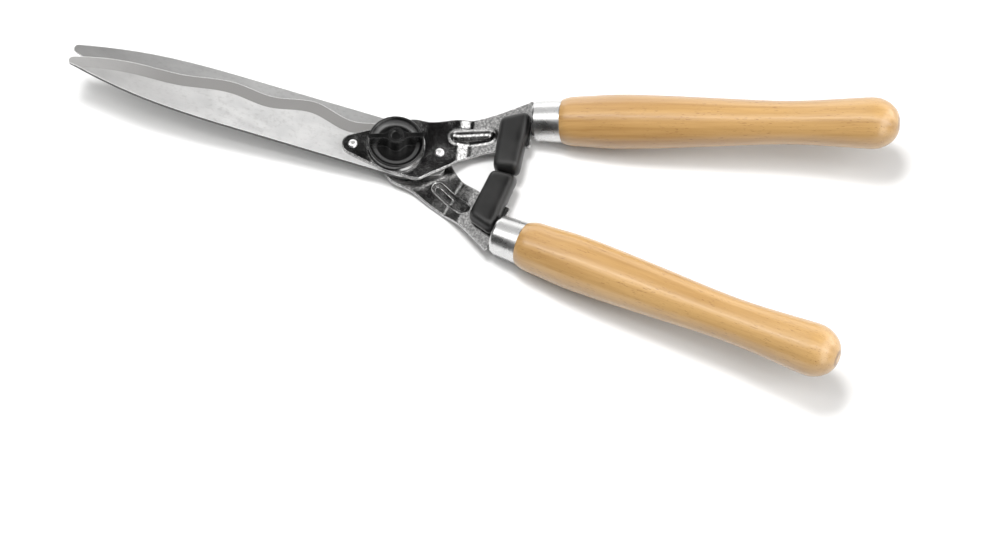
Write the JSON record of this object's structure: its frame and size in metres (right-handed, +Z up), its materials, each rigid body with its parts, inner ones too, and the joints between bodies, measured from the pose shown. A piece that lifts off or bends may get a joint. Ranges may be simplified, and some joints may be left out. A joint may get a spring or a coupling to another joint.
{
  "type": "hedge shears",
  "caption": "Two-handed hedge shears with wavy-edged blades on cranked pressed carriers, a black tension knob, rubber buffers and turned wooden handles.",
  "frame": {"origin": "centre of the pivot bolt head's flat underside, with the closed tool lying on its bolt head and ferrules", "axes": "+X from the pivot along the centre line to the handles, +Y towards the handle that swings, +Z up from the table; the pivot axis leans 7.27 degrees from +Z towards +X"},
  "size_m": [0.6073, 0.22, 0.0671],
  "materials": {
    "blade_steel": "satin ground",
    "chromed_steel": "polished chrome plate",
    "rivet_steel": "bright",
    "stud_steel": "zinc plated",
    "ferrule_chrome": "polished chrome plate",
    "bolt_steel": "chrome plated",
    "spring_steel": "blued",
    "bush_bronze": "plain sintered bronze",
    "insert_brass": "plain",
    "knob_plastic": "moulded gloss black",
    "black_rubber": "moulded satin black",
    "beech": "clear lacquer"
  },
  "bodies": {
    "lower_half": {"lower_blade": "blade_steel", "lower_carrier": "chromed_steel", "lower_blade_rivets": "rivet_steel", "lower_buffer": "black_rubber", "lower_buffer_studs": "stud_steel", "lower_ferrule": "ferrule_chrome", "lower_handle": "beech", "pivot_bolt": "bolt_steel", "spring_washer": "spring_steel", "cup_washer": "chromed_steel"},
    "upper_half": {"upper_blade": "blade_steel", "upper_carrier": "chromed_steel", "upper_blade_rivets": "rivet_steel", "upper_buffer": "black_rubber", "upper_buffer_studs": "stud_steel", "upper_ferrule": "ferrule_chrome", "upper_handle": "beech", "pivot_bush": "bush_bronze"},
    "tension_knob": {"knob_body": "knob_plastic", "knob_insert": "insert_brass", "knob_cap": "knob_plastic"}
  },
  "joints": [
    {"name": "blade_pivot", "type": "hinge", "parent": "lower_half", "child": "upper_half", "pos_m": [0.00147, 0, 0.01151], "axis": [0.1265, 0, 0.992], "range_deg": [0, 60]},
    {"name": "knob_turn", "type": "hinge", "parent": "lower_half", "child": "tension_knob", "pos_m": [0.00266, 0, 0.02083], "axis": [0.1265, 0, 0.992], "range_deg": [-30, 330]}
  ]
}
